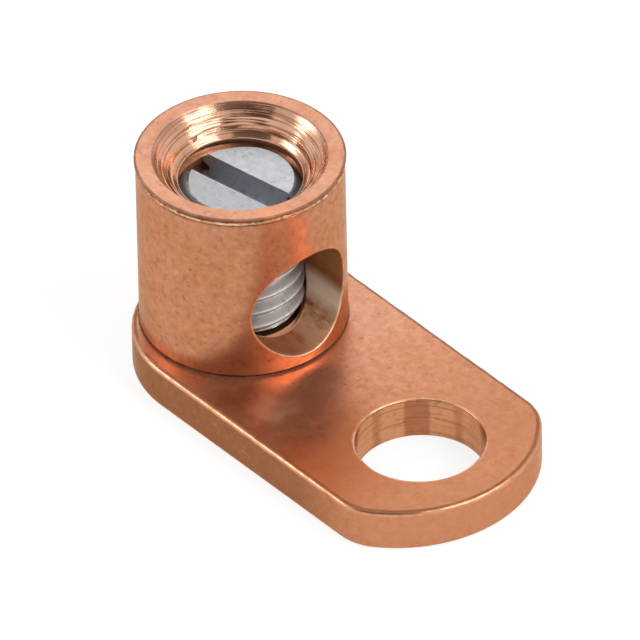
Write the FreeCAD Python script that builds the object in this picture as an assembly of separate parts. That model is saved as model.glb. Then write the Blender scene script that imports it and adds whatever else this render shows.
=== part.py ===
import FreeCAD, Part
import math
import os

V = FreeCAD.Vector

# Sizes in millimetres. The seat plane is Z = 0, the stud hole's axis is the Z axis and
# +X runs from the barrel towards the tip of the tang.

# Tang: flat bar with a shallow arc at the tip and a full round at the heel.
TANG_WIDTH = 12.70
TANG_THICK = 2.38
TANG_EDGE = 0.26
TIP_REACH = 5.63
TIP_RADIUS = TANG_WIDTH * 0.578
TIP_CORNER = TANG_WIDTH * 0.225
HEEL_MARGIN = 0.08

# Stud hole, for a 1/4 inch stud.
STUD_HOLE_R = 3.35
STUD_HOLE_BREAK = 0.10

# Barrel: upright post that holds the wire and the screw.
BARREL_TO_STUD = 14.05
BARREL_R = 5.40
LIP_PROUD = 0.07
LIP_FALL = 0.42
LIP_BREAK = 0.20
CREASE_DEPTH = 0.10
CREASE_HEIGHT = 0.13

# Up the barrel: metal under the wire bore, the bore, the thread over it, the countersink.
WIRE_FLOOR = 0.68
WIRE_BORE_R = 3.06
WIRE_RIM = 0.14
THREAD_RUN = 2.10
COUNTERSINK_DEPTH = 1.42

# Countersink over the screw: mouth, then turned steps down to the tapped bore.
MOUTH_R = 4.51
MOUTH_BREAK = 0.05
STEP_COUNT = 4
STEP_LEDGE = 0.08

# Clamp screw, 1/4-28 x 5/16 slotted, shown by its outside diameter.
SCREW_R = 3.175
SCREW_SINK = 1.56
SCREW_TIP_GAP = 0.14
SCREW_CHAMFER = 0.41
SLOT_WIDTH = 1.40
SLOT_DEPTH = 1.40
SLOT_ANGLE = 12.0

# Running clearance between the screw's outside and the tapped bore's wall.
SCREW_CLEAR = 0.05

# Blind seat in the wire bore's floor: a narrow ledge where the tap stopped, then the drill's own
# hole, wide enough for the screw's chamfered end.
LEDGE_SINK = 0.03
SEAT_CLEAR = 0.185
SEAT_SINK = 0.31
DRILL_POINT = 0.22

# How far cutters run past the faces they cut.
OVERRUN = 1.0

# Sizes that follow from the ones above.
BARREL_X = -BARREL_TO_STUD
HEEL_X = BARREL_X - BARREL_R - HEEL_MARGIN
WIRE_BORE_Z = TANG_THICK + WIRE_FLOOR + WIRE_BORE_R
WIRE_FLOOR_Z = WIRE_BORE_Z - WIRE_BORE_R
COUNTERSINK_Z = WIRE_BORE_Z + WIRE_BORE_R + THREAD_RUN
BARREL_TOP = COUNTERSINK_Z + COUNTERSINK_DEPTH
TAP_R = SCREW_R + SCREW_CLEAR
LEDGE_Z = WIRE_FLOOR_Z - LEDGE_SINK
SEAT_Z = WIRE_FLOOR_Z - SEAT_SINK
SCREW_TOP = BARREL_TOP - SCREW_SINK
SCREW_BOTTOM = WIRE_FLOOR_Z + SCREW_TIP_GAP
SCREW_POINT_R = SCREW_R - SCREW_CHAMFER
SEAT_R = SCREW_POINT_R + SEAT_CLEAR


def revolve(points, x):
    """Solid turned about the upright line at X = x from (radius, height) points."""
    loop = [V(x + r, 0, z) for r, z in points]
    wire = Part.makePolygon(loop + [loop[0]])
    return Part.Face(wire).revolve(V(x, 0, 0), V(0, 0, 1), 360)


def tang_outline():
    """Closed outline of the tang: tip arc, two corners, two straight sides, round heel."""
    half = TANG_WIDTH / 2
    tip_x = TIP_REACH - TIP_RADIUS
    reach = TIP_RADIUS - TIP_CORNER
    side = half - TIP_CORNER
    corner_x = tip_x + math.sqrt(reach ** 2 - side ** 2)
    lean = math.atan2(side, corner_x - tip_x)
    touch = V(tip_x + TIP_RADIUS * math.cos(lean), TIP_RADIUS * math.sin(lean), 0)
    bend = (lean + math.pi / 2) / 2
    middle = V(corner_x + TIP_CORNER * math.cos(bend), side + TIP_CORNER * math.sin(bend), 0)
    heel_x = HEEL_X + half
    upper = V(corner_x, half, 0)
    mirror = lambda p: V(p.x, -p.y, 0)
    return Part.Wire([
        Part.Arc(mirror(touch), V(TIP_REACH, 0, 0), touch).toShape(),
        Part.Arc(touch, middle, upper).toShape(),
        Part.makeLine(upper, V(heel_x, half, 0)),
        Part.Arc(V(heel_x, half, 0), V(HEEL_X, 0, 0), V(heel_x, -half, 0)).toShape(),
        Part.makeLine(V(heel_x, -half, 0), mirror(upper)),
        Part.Arc(mirror(upper), mirror(middle), mirror(touch)).toShape(),
    ])


def tang():
    """Flat bar with its top and bottom edges rounded."""
    plate = Part.Face(tang_outline()).extrude(V(0, 0, TANG_THICK))
    edges = [e for e in plate.Edges if abs(e.BoundBox.ZLength) < 1e-6]
    return plate.makeFillet(TANG_EDGE, edges)


def barrel():
    """Solid post with a crease at its foot and a slightly proud, rounded lip at its top."""
    foot = TANG_THICK + CREASE_HEIGHT
    lip_r = BARREL_R + LIP_PROUD
    lip_z = BARREL_TOP - LIP_FALL
    return revolve([
        (0, TANG_THICK / 2),
        (BARREL_R - CREASE_DEPTH, TANG_THICK / 2),
        (BARREL_R - CREASE_DEPTH, TANG_THICK + CREASE_HEIGHT / 2),
        (BARREL_R, foot + CREASE_DEPTH / 2),
        (BARREL_R, lip_z - LIP_PROUD),
        (lip_r, lip_z),
        (lip_r, BARREL_TOP - LIP_BREAK),
        (lip_r - LIP_BREAK * 0.3, BARREL_TOP - LIP_BREAK * 0.3),
        (lip_r - LIP_BREAK, BARREL_TOP),
        (0, BARREL_TOP),
    ], BARREL_X)


def countersink():
    """Cutter for the flared mouth: short cones parted by narrow turned ledges."""
    above = BARREL_TOP + OVERRUN
    points = [(0, above), (MOUTH_R + MOUTH_BREAK, above), (MOUTH_R + MOUTH_BREAK, BARREL_TOP)]
    r = MOUTH_R
    z = BARREL_TOP - MOUTH_BREAK
    points.append((r, z))
    span = MOUTH_R - TAP_R
    fall = (z - COUNTERSINK_Z) / STEP_COUNT
    cone = span / STEP_COUNT - STEP_LEDGE
    for _ in range(STEP_COUNT):
        r -= cone
        z -= fall
        points.append((r, z))
        r -= STEP_LEDGE
        points.append((r, z))
    points.append((0, COUNTERSINK_Z))
    return revolve(points, BARREL_X)


def tapped_bore():
    """Cutter for the screw's bore, down through the wire bore to its blind seat."""
    return revolve([
        (0, SEAT_Z - DRILL_POINT),
        (SEAT_R, SEAT_Z),
        (SEAT_R, LEDGE_Z),
        (TAP_R, LEDGE_Z),
        (TAP_R, COUNTERSINK_Z + STEP_LEDGE),
        (0, COUNTERSINK_Z + STEP_LEDGE),
    ], BARREL_X)


def wire_bore():
    """Cutter for the round hole that takes the wire, level and through the barrel."""
    reach = BARREL_R + OVERRUN
    start = V(BARREL_X - reach, 0, WIRE_BORE_Z)
    return Part.makeCylinder(WIRE_BORE_R, 2 * reach, start, V(1, 0, 0))


def stud_hole():
    """Cutter for the stud hole, its two rims lightly broken."""
    wide = STUD_HOLE_R + STUD_HOLE_BREAK
    return revolve([
        (0, -OVERRUN),
        (wide, -OVERRUN),
        (wide, 0),
        (STUD_HOLE_R, STUD_HOLE_BREAK),
        (STUD_HOLE_R, TANG_THICK - STUD_HOLE_BREAK),
        (wide, TANG_THICK),
        (wide, TANG_THICK + OVERRUN),
        (0, TANG_THICK + OVERRUN),
    ], 0)


def wire_rims(shape):
    """Edges where the wire bore leaves the barrel's outside."""
    found = []
    for edge in shape.Edges:
        middle = edge.valueAt((edge.FirstParameter + edge.LastParameter) / 2)
        out = math.hypot(middle.x - BARREL_X, middle.y)
        across = math.hypot(middle.y, middle.z - WIRE_BORE_Z)
        if abs(out - BARREL_R) < 1e-3 and abs(across - WIRE_BORE_R) < 1e-3:
            found.append(edge)
    return found


def lug_body():
    """One piece: tang and barrel with every bore cut and the wire bore's rims broken."""
    shape = tang().fuse(barrel()).removeSplitter()
    shape = shape.cut(stud_hole())
    shape = shape.cut(countersink())
    shape = shape.cut(wire_bore())
    shape = shape.makeChamfer(WIRE_RIM, wire_rims(shape))
    shape = shape.cut(tapped_bore())
    return shape.removeSplitter()


def clamp_screw():
    """Headless screw: chamfered cylinder with a straight driver slot across its top."""
    blank = revolve([
        (0, SCREW_BOTTOM),
        (SCREW_POINT_R, SCREW_BOTTOM),
        (SCREW_R, SCREW_BOTTOM + SCREW_CHAMFER),
        (SCREW_R, SCREW_TOP - SCREW_CHAMFER),
        (SCREW_POINT_R, SCREW_TOP),
        (0, SCREW_TOP),
    ], BARREL_X)
    length = 2 * (SCREW_R + OVERRUN)
    cutter = Part.makeBox(length, SLOT_WIDTH, SLOT_DEPTH + OVERRUN,
                          V(-length / 2, -SLOT_WIDTH / 2, SCREW_TOP - SLOT_DEPTH))
    cutter.rotate(V(0, 0, 0), V(0, 0, 1), SLOT_ANGLE)
    cutter.translate(V(BARREL_X, 0, 0))
    return blank.cut(cutter).removeSplitter()


def write(name, shape):
    """Check that the shape is one valid solid and write its STEP file."""
    solid = shape.Solids[0]
    if len(shape.Solids) != 1 or not solid.isValid():
        raise ValueError(name + " is not one valid solid")
    solid.exportStep("parts/" + name + ".step")
    box = solid.BoundBox
    print(name, round(solid.Volume, 2), [round(v, 3) for v in (
        box.XMin, box.XMax, box.YMin, box.YMax, box.ZMin, box.ZMax)])


os.makedirs("parts", exist_ok=True)
write("lug_body", lug_body())
write("clamp_screw", clamp_screw())
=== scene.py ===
"""Mechanical lug: copper lug body with its slotted clamp screw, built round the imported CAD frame."""

import math

import bmesh
import bpy
import numpy as np
from mathutils import Matrix


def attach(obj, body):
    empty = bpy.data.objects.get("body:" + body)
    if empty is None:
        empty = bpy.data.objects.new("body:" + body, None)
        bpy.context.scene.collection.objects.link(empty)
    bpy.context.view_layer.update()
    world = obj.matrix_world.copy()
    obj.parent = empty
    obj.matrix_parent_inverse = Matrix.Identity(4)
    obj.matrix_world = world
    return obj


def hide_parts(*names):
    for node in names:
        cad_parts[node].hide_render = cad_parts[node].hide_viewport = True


bl_info = {
    "name": "Mechanical lug",
    "version": (1, 0, 0),
    "blender": (4, 5, 0),
    "location": "View3D > Sidebar > Lug",
    "description": "Builds a copper mechanical lug, its slotted clamp screw and a plain white stage",
    "category": "Add Mesh",
}

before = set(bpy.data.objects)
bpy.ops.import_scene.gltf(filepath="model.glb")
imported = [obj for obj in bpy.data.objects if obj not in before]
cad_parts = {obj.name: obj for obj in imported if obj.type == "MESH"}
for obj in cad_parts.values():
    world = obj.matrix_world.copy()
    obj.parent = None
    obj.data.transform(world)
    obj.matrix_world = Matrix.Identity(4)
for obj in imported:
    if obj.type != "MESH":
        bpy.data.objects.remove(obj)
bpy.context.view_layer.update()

MM = 0.001
TURN = 2 * math.pi

# Columns of points round the barrel, round the tang's tip and round one half of the screw's slotted end.
COLUMNS = 288
TIP_POINTS = 181
HALF_POINTS = 81

# Points closer than WELD are one, edges under SLIVER go, heights within TOUCH and angles within SEAM agree.
WELD = 2e-7
SLIVER = 1e-8
TOUCH = 1e-6
SEAM = 1e-9
SHARP_ANGLE = math.radians(38)

# Radius of the tang's tip and its corners in tang widths, and where the tang's two meshes meet, as a share
# of the way from the stud hole to the barrel.
TIP_ROUND = 0.578
CORNER_ROUND = 0.225
SPLIT = 0.43

# The lip's foot under the rim, the rounding inside the tapped bore, and the share of the countersink's
# width and depth that each of its turned steps takes.
LIP_FALL = 0.36 * MM
BORE_BREAK = 0.12 * MM
COUNTERSINK_STEPS = ((0.23, 0.24), (0.17, 0.19), (0.24, 0.20), (0.14, 0.18), (0.22, 0.19))

# Side of the square picture in points, and width of the camera's sensor in millimetres.
PICTURE = 640
SENSOR = 36.0


# Sizes and finishes that a user may change

def length(name, millimetres, description):
    """A length property whose default is given in millimetres."""
    return bpy.props.FloatProperty(
        name=name, description=description, default=millimetres * MM,
        min=0.0, precision=6, unit="LENGTH", subtype="DISTANCE")


def angle(name, degrees, description):
    """An angle property whose default is given in degrees."""
    return bpy.props.FloatProperty(
        name=name, description=description, default=math.radians(degrees), unit="ROTATION", subtype="ANGLE")


def share(name, default, description):
    """A property from 0 to 1."""
    return bpy.props.FloatProperty(
        name=name, description=description, default=default, min=0.0, max=1.0, subtype="FACTOR")


def colour(name, default, description):
    """A colour property."""
    return bpy.props.FloatVectorProperty(
        name=name, description=description, default=default, min=0.0, max=1.0, size=3, subtype="COLOR")


class LugBodySizes(bpy.types.PropertyGroup):
    """Sizes of the one-piece copper body."""
    tang_width: length("Tang width", 12.70, "Width of the flat tang")
    tang_thick: length("Tang thickness", 2.38, "Thickness of the flat tang")
    tang_edge: length("Tang edge", 0.26, "Rounding along the tang's top and bottom edges")
    tip_reach: length("Tip reach", 5.626, "From the stud hole's axis to the tang's tip")
    heel_margin: length("Heel margin", 0.08, "How far the heel stands out behind the barrel")
    hole_radius: length("Stud hole radius", 3.35, "Radius of the stud hole")
    hole_break: length("Stud hole break", 0.10, "Rounding of the stud hole's rims")
    barrel_to_stud: length("Barrel to stud", 14.05, "From the barrel's axis to the stud hole's axis")
    barrel_radius: length("Barrel radius", 5.40, "Outside radius of the barrel")
    barrel_top: length("Barrel top", 12.70, "Height of the barrel's rim over the seat plane")
    lip_proud: length("Lip", 0.07, "How far the lip at the rim stands out")
    crease: length("Crease", 0.10, "Depth of the crease at the barrel's foot")
    mouth_radius: length("Mouth radius", 4.51, "Radius of the countersink at the rim")
    countersink_depth: length("Countersink depth", 1.42, "Depth of the countersink over the thread")
    wire_radius: length("Wire bore radius", 3.06, "Radius of the bore for the wire")
    wire_height: length("Wire bore height", 6.12, "Height of the wire bore's axis")
    wire_rim: length("Wire bore rim", 0.14, "Rounding where the wire bore leaves the barrel")
    tap_radius: length("Tapped bore radius", 3.225, "Radius of the bore that holds the screw")
    ledge_height: length("Ledge height", 3.03, "Height of the ledge where the tap stopped")
    seat_radius: length("Seat radius", 2.95, "Radius of the drilled seat under the screw")
    seat_height: length("Seat height", 2.75, "Height of the blind seat under the screw")


class ClampScrewSizes(bpy.types.PropertyGroup):
    """Sizes of the slotted clamp screw."""
    radius: length("Radius", 3.175, "Outside radius of the thread")
    root_radius: length("Root radius", 2.66, "Radius at the bottom of the thread")
    pitch: length("Pitch", 0.907, "Distance from one turn of the thread to the next")
    top: length("Top", 11.14, "Height of the screw's flat top at rest")
    bottom: length("Bottom", 3.20, "Height of the screw's flat tip at rest")
    chamfer: length("Chamfer", 0.41, "Chamfer at both ends")
    slot_width: length("Slot width", 1.52, "Width of the driver slot")
    slot_offset: length("Slot offset", 0.15, "How far the slot's middle lies off the screw's axis")
    slot_depth: length("Slot depth", 1.40, "Depth of the driver slot")
    slot_angle: angle("Slot angle", 10.5, "Direction of the slot seen from above")
    thread_turn: angle("Thread turn", -90.0, "Where the thread starts round the screw")


class LugFinish(bpy.types.PropertyGroup):
    """Colours and smoothness of the two metals."""
    copper: colour("Copper", (0.62, 0.262, 0.130), "Colour of clean copper")
    copper_dull: colour("Dull copper", (0.49, 0.190, 0.090), "Colour of lightly tarnished copper")
    copper_rough: share("Copper roughness", 0.33, "Roughness of the copper")
    zinc: colour("Zinc", (0.57, 0.60, 0.64), "Colour of the plated screw")
    zinc_rough: share("Zinc roughness", 0.42, "Roughness of the plated screw")


class StageSettings(bpy.types.PropertyGroup):
    """Camera and light."""
    azimuth: angle("Azimuth", 50.633, "Direction of the camera round the part")
    elevation: angle("Elevation", 38.18, "Height of the camera over the horizon")
    roll: angle("Roll", -1.315, "Turn of the camera about its own axis")
    distance: length("Distance", 1500.0, "From the camera to the part")
    scale: bpy.props.FloatProperty(
        name="Scale", description="Picture points for each millimetre at the part", default=19.492)
    centre: bpy.props.FloatVectorProperty(
        name="Centre", description="Where the stud hole's foot falls in the picture", size=2,
        default=(420.989, 476.429))
    world_light: share("World light", 0.6, "Strength of the even light from all round")
    lamp_light: share("Lamp light", 1.0, "Share of the lamps' full power")


# Shapes worked out as whole arrays

def grid(points, closed=True):
    """Quads over a (rows, columns, 3) array of points; closed joins the last column to the first."""
    rows, cols = points.shape[:2]
    index = np.arange(rows * cols).reshape(rows, cols)
    if closed:
        index = np.concatenate([index, index[:, :1]], axis=1)
    corners = index[:-1, :-1], index[:-1, 1:], index[1:, 1:], index[1:, :-1]
    return points.reshape(-1, 3), np.stack(corners, axis=-1).reshape(-1, 4)


def fan(ring, centre):
    """Triangles from a closed ring of points to one centre point."""
    count = len(ring)
    index = np.arange(count)
    faces = np.stack([index, np.roll(index, -1), np.full(count, count)], axis=-1)
    return np.vstack([ring, centre]), faces


def new_object(name, data):
    """A new object in the scene."""
    obj = bpy.data.objects.new(name, data)
    bpy.context.scene.collection.objects.link(obj)
    return obj


def piece(name, parts, material):
    """One closed mesh object from (points, faces) parts: doubles merged, faces turned outwards."""
    mesh = bpy.data.meshes.new(name)
    points = []
    faces = []
    shift = 0
    for part_points, part_faces in parts:
        points.append(part_points)
        faces.extend((part_faces + shift).tolist())
        shift += len(part_points)
    mesh.from_pydata(np.vstack(points).tolist(), [], faces)
    work = bmesh.new()
    work.from_mesh(mesh)
    bmesh.ops.remove_doubles(work, verts=work.verts, dist=WELD)
    bmesh.ops.dissolve_degenerate(work, dist=SLIVER, edges=work.edges)
    bmesh.ops.recalc_face_normals(work, faces=work.faces)
    loose = sum(1 for edge in work.edges if len(edge.link_faces) != 2)
    work.to_mesh(mesh)
    work.free()
    mesh.shade_smooth()
    mesh.set_sharp_from_angle(angle=SHARP_ANGLE)
    mesh.materials.append(material)
    print(name, "triangles", sum(len(p.vertices) - 2 for p in mesh.polygons), "open edges", loose)
    return new_object(name, mesh)


def set_marks(obj, formula, *sizes):
    """Store on the mesh the named point masks that the formula gives for sizes and the points' X, Y, Z."""
    mesh = obj.data
    places = np.zeros(len(mesh.vertices) * 3)
    mesh.vertices.foreach_get("co", places)
    for name, values in formula(*sizes, *places.reshape(-1, 3).T).items():
        values = np.clip(values * 1.0, 0.0, 1.0).astype(np.float32)
        mesh.attributes.new(name, "FLOAT", "POINT").data.foreach_set("value", values)


def hump(value, low, high):
    """0 outside the range from low to high and a half sine wave inside it."""
    return np.sin(np.pi * np.clip((value - low) / (high - low), 0.0, 1.0))


def ridge(value, base, low, high):
    """A hump whose range is in millimetres off a base."""
    return hump(value, base + low * MM, base + high * MM)


def band(value, base, low, high):
    """Whether a value lies in a range in millimetres off a base."""
    return (value > base + low * MM) & (value < base + high * MM)


def smooth_step(value):
    """0 below 0, 1 above 1, and the smooth curve 3v^2 - 2v^3 between."""
    v = np.clip(value, 0.0, 1.0)
    return v * v * (3 - 2 * v)


def spread(count, guard=0.02):
    """Values from 0 to 1 with a close first and last step, so shading stays flat up to the edges."""
    return np.concatenate([[0.0], np.linspace(guard, 1 - guard, count), [1.0]])


def curve(first, corner, last, s):
    """The curve (1-s)^2 first + 2s(1-s) corner + s^2 last."""
    return first * (1 - s) ** 2 + corner * 2 * s * (1 - s) + last * s ** 2


def blend_rows(first, last, steps):
    """Rows of points that go straight from the first row to the last one."""
    s = np.asarray(steps)[:, None, None]
    return first * (1 - s) + last * s


def arc_rows(first, corner, last, count):
    """Rows that round the corner between the first row and the last one."""
    return curve(first, corner, last, np.linspace(0, 1, count)[:, None, None])


def even_angles(count=COLUMNS, start=-math.pi / 4):
    """Angles in even steps of a whole turn."""
    return start + TURN * np.arange(count) / count


def level(angles):
    """Level unit vectors at the given angles."""
    return np.stack([np.cos(angles), np.sin(angles)], axis=-1)


def around(x, r, angles, z):
    """Points at radii, angles and heights round the upright line at X = x."""
    r, angles, z = np.broadcast_arrays(r, angles, z)
    return np.stack([x + r * np.cos(angles), r * np.sin(angles), z], axis=-1)


def turned(profile, angles, x):
    """Rows of points that carry (radius, height) pairs round the upright line at X = x."""
    r, z = np.asarray(profile).T[..., None]
    return around(x, r, angles, z)


def near(r, z, *pairs):
    """(radius, height) pairs that lie the given millimetres off one pair."""
    return [(r + out * MM, z + up * MM) for out, up in pairs]


def rounded(points, radius, count=5):
    """A (radius, height) line whose inner corners are rounded with short curves."""
    points = np.asarray(points, float)
    s = np.linspace(0, 1, count)[:, None]
    out = [points[:1]]
    for before, here, after in zip(points[:-2], points[1:-1], points[2:]):
        back = before - here
        ahead = after - here
        cut = min(radius, 0.45 * np.hypot(*back), 0.45 * np.hypot(*ahead))
        start = here + back / np.hypot(*back) * cut
        end = here + ahead / np.hypot(*ahead) * cut
        out.append(curve(start, here, end, s))
    return np.vstack(out + [points[-1:]])


def chatter(rows, angles, depth, seed):
    """Turned rows whose rings waver: heights and radii shift by a sum of waves round the axis.

    The shift is depth * sum over k of sin(k * angle + phase + twist * row share) / k^0.7, faded to
    nothing at the first and the last row.
    """
    draw = np.random.default_rng(seed)
    row_share = np.linspace(0, 1, len(rows))[:, None]
    shifts = []
    for _ in ("height", "radius"):
        wave = 0.0
        for k in range(1, 15):
            phase, twist = draw.uniform(0, TURN), draw.uniform(-16, 16)
            wave = wave + np.sin(k * angles + phase + twist * row_share) / k ** 0.7
        shifts.append((depth * wave * np.sin(np.pi * row_share) ** 0.5)[..., None])
    up, out = shifts
    return rows + np.concatenate([0.6 * out * level(angles), up], axis=-1)


def ripple(count, seed, high):
    """A closed wavy line, at most 1 high: the sum over k of sin(k * share of a turn + phase) / sqrt(k)."""
    k = np.arange(5, high)[:, None]
    phase = np.random.default_rng(seed).uniform(0, TURN, (len(k), 1))
    wave = (np.sin(k * TURN * np.arange(count) / count + phase) / np.sqrt(k)).sum(0)
    return wave / abs(wave).max()


def thread_phase(pitch, angles, z):
    """Share of a turn of the thread at an angle and a height: height / pitch - angle / turn."""
    return (z / pitch - angles / TURN) % 1.0


def plate_edge(outline, normals, thick, radius, bends, walls, dents):
    """Rows from the top of a plate's rounded edge down its wall and round to the underside.

    At the angle a, the rounding stands radius * (cos a - 1) off the outline and lies
    radius * (1 - sin a) inside the face. On its upper half the radius grows by dents * sin 2a.
    """
    a = np.linspace(math.pi / 2, 0, bends)[:, None]
    flat = 0 * dents
    wavy = radius + dents * np.sin(2 * a)
    wall = np.linspace(thick - radius, radius, walls + 2)[1:-1, None]
    out = np.vstack([wavy * np.cos(a), radius + 0 * wall + flat, radius * np.cos(a[::-1]) + flat])
    up = np.vstack([
        thick - radius + wavy * np.sin(a), wall + flat, radius - radius * np.sin(a[::-1]) + flat])
    return np.concatenate([outline + (out - radius)[..., None] * normals, up[..., None]], axis=-1)


class Tang:
    """Measures of the tang's outline, seen from above.

    The heel is a half circle as wide as the tang and the two sides are straight. The tip is a shallow
    arc, joined to the sides by rounder corners.
    """

    def __init__(self, s):
        self.half = s.tang_width / 2
        self.radius = s.tang_width * TIP_ROUND
        self.corner = s.tang_width * CORNER_ROUND
        self.heel_x = -s.barrel_to_stud - s.barrel_radius - s.heel_margin + self.half
        self.tip_x = s.tip_reach - self.radius
        self.side = self.half - self.corner
        self.corner_x = self.tip_x + math.sqrt((self.radius - self.corner) ** 2 - self.side ** 2)
        self.lean = math.atan2(self.side, self.corner_x - self.tip_x)

    def depth(self, x, y):
        """How far inside the outline each point lies."""
        across = abs(y)
        depth = np.where(x < self.heel_x, self.half - np.hypot(x - self.heel_x, y), self.half - across)
        corner = self.corner - np.hypot(x - self.corner_x, across - self.side)
        depth = np.where(x > self.corner_x, corner, depth)
        on_tip = (np.arctan2(across, x - self.tip_x) < self.lean) & (x > 0)
        return np.where(on_tip, self.radius - np.hypot(x - self.tip_x, y), depth)


def tang_loops(s):
    """Matched loops for the tang, left and right of the line X = split_x.

    Left of it, point k lies on the ray from the barrel's axis at -45 degrees + k columnths of a turn,
    so that the barrel's foot can share it. Right of it, the points are evenly spaced. Gives the left and
    the right outline, each as points and outward normals, the left loop inside the rounded edge with its
    angles round the barrel's axis, and its points on the line.
    """
    tang = Tang(s)
    barrel_x = -s.barrel_to_stud
    split_x = SPLIT * barrel_x

    def arc(cx, cy, r, start, end, count):
        normals = level(np.linspace(start, end, count))
        return np.array([cx, cy]) + r * normals, normals

    def line(x0, x1, y, count=3000):
        points = np.stack([np.linspace(x0, x1, count), np.full(count, y)], axis=-1)
        return points, np.tile([0.0, np.sign(y)], (count, 1))

    def joined(*runs):
        return [np.vstack(rows) for rows in zip(*runs)]

    points, normals = joined(
        line(split_x, tang.heel_x, tang.half),
        arc(tang.heel_x, 0, tang.half, math.pi / 2, 3 * math.pi / 2, 6000),
        line(tang.heel_x, split_x, -tang.half))
    inner = points - s.tang_edge * normals
    angles = np.unwrap(np.arctan2(inner[:, 1], inner[:, 0] - barrel_x))
    wanted = even_angles()
    corner = angles[0]
    first, last = (int(np.argmin(abs(wanted - end))) for end in (-corner, corner))
    wanted[first], wanted[last] = -corner, corner
    on_outline = np.concatenate([np.arange(last, COLUMNS), np.arange(0, first + 1)])
    turn = wanted[on_outline]
    turn = np.where(turn < corner - SEAM, turn + TURN, turn)
    pick = np.clip(np.searchsorted(angles, turn - SEAM), 0, len(angles) - 1)
    pick[0], pick[-1] = 0, len(angles) - 1
    heel = points[pick], normals[pick]
    loop = np.zeros((COLUMNS, 2))
    loop[on_outline] = inner[pick]
    inside = np.arange(first + 1, last)
    loop[inside, 0] = split_x
    loop[inside, 1] = (split_x - barrel_x) * np.tan(wanted[inside])
    foot_angles = np.unwrap(np.arctan2(loop[:, 1], loop[:, 0] - barrel_x))

    points, normals = joined(
        line(split_x, tang.corner_x, -tang.half),
        arc(tang.corner_x, -tang.side, tang.corner, -math.pi / 2, -tang.lean, 2000),
        arc(tang.tip_x, 0, tang.radius, -tang.lean, tang.lean, 4000),
        arc(tang.corner_x, tang.side, tang.corner, tang.lean, math.pi / 2, 2000),
        line(tang.corner_x, split_x, tang.half))
    step = np.concatenate([[0], np.cumsum(np.hypot(*np.diff(points, axis=0).T))])
    pick = np.searchsorted(step, np.linspace(0, step[-1] * (1 - SEAM), TIP_POINTS))
    pick[0], pick[-1] = 0, len(points) - 1
    return heel, (points[pick], normals[pick]), loop, foot_angles, loop[inside]


def wire_edge(radius, hole):
    """Where a level hole meets an upright cylinder, as an angle and a lift for each column.

    Columns are in four quarters: in the front and back ones the edge's Y goes evenly round the hole,
    Y = hole * sin(tau), lift = hole * cos(tau); in the side ones the lift is 0.
    """
    quarter = np.arange(COLUMNS // 4) / (COLUMNS // 4)
    tau = math.pi * (quarter - 0.5)
    sweep = np.arcsin(hole * np.sin(tau) / radius)
    side = math.asin(hole / radius)
    angles = np.concatenate([sweep, side + (math.pi - 2 * side) * quarter])
    lift = np.concatenate([hole * np.cos(tau), 0 * tau])
    return np.concatenate([angles, math.pi + angles]), np.tile(lift, 2)


def wall_rows(radius, x, start, end, steps, relief=None):
    """Rows on an upright cylinder between two edges, each (angles, heights), which change evenly."""
    s = np.asarray(steps)[:, None]
    angles, z = (first * (1 - s) + last * s for first, last in zip(start, end))
    if relief is not None:
        radius = radius + relief(angles, z, s)
    return around(x, radius, angles, z)


def barrel_side(s, foot_angles):
    """The barrel's outside above and below the wire bore, and the crease down to the tang."""
    x = -s.barrel_to_stud
    r = s.barrel_radius
    foot_z = s.tang_thick + 0.18 * MM
    angles, lift = wire_edge(r, s.wire_radius + s.wire_rim)
    upper_edge = even_angles(), s.barrel_top - LIP_FALL - 0.06 * MM
    crease = rounded([
        (r, foot_z), (r - s.crease * 0.4, foot_z - 0.05 * MM), (r - s.crease, foot_z - 0.12 * MM),
        (r - s.crease, s.tang_thick)], 0.05 * MM)
    return [
        grid(wall_rows(r, x, (angles, s.wire_height + lift), upper_edge, spread(8))),
        grid(wall_rows(r, x, (angles, s.wire_height - lift), (foot_angles, foot_z), spread(8))),
        grid(turned(crease, foot_angles, x))]


def barrel_rim(s):
    """The lip with its groove and burr, the flat rim and the stepped countersink down to the thread."""
    x = -s.barrel_to_stud
    top = s.barrel_top
    lip_z = top - LIP_FALL
    lip_r = s.barrel_radius + s.lip_proud
    angles = even_angles()
    mouth = near(s.mouth_radius, top, (0.06, 0))
    lip = rounded(
        near(s.barrel_radius, lip_z, (0, -0.06), (-0.012, -0.03))
        + near(lip_r, lip_z, (0, 0.03), (0, 0.12), (-0.045, 0.17), (-0.045, 0.20), (-0.005, 0.27)),
        0.03 * MM, 4)
    rim = rounded([lip[-1]] + near(lip_r, top, (-0.005, -0.05), (-0.13, 0)) + mouth, 0.12 * MM, 6)

    r, z = s.mouth_radius, top - 0.06 * MM
    width, depth = s.mouth_radius - s.tap_radius, z - (top - s.countersink_depth)
    steps = mouth + [(r, z)]
    for across, fall in COUNTERSINK_STEPS:
        r -= across * width
        z -= fall * depth
        steps += near(r, z, (0.055, 0.012), (0, 0))
    steps[-1] = (s.tap_radius, top - s.countersink_depth)
    bowl = rounded(steps, 0.035 * MM, 4)

    lip_rows = chatter(turned(lip, angles, x), angles, 0.008 * MM, 9)
    burr = np.sin(np.linspace(0, math.pi, len(lip)))[:, None] * 0.035 * MM
    lip_rows[..., 2] += burr * ripple(COLUMNS, 21, 75)
    lip_rows[..., :2] += (burr * (ripple(COLUMNS, 22, 75) - 0.7))[..., None] * level(angles)
    bowl_rows = chatter(turned(bowl, angles, x), angles, 0.024 * MM, 4)
    return [grid(lip_rows), grid(turned(rim, angles, x)), grid(bowl_rows)]


def inner_hole(s):
    """Radius at which the wire bore's rounded rim ends on the tapped bore."""
    return min(s.wire_radius + BORE_BREAK, s.tap_radius - 0.04 * MM)


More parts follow.
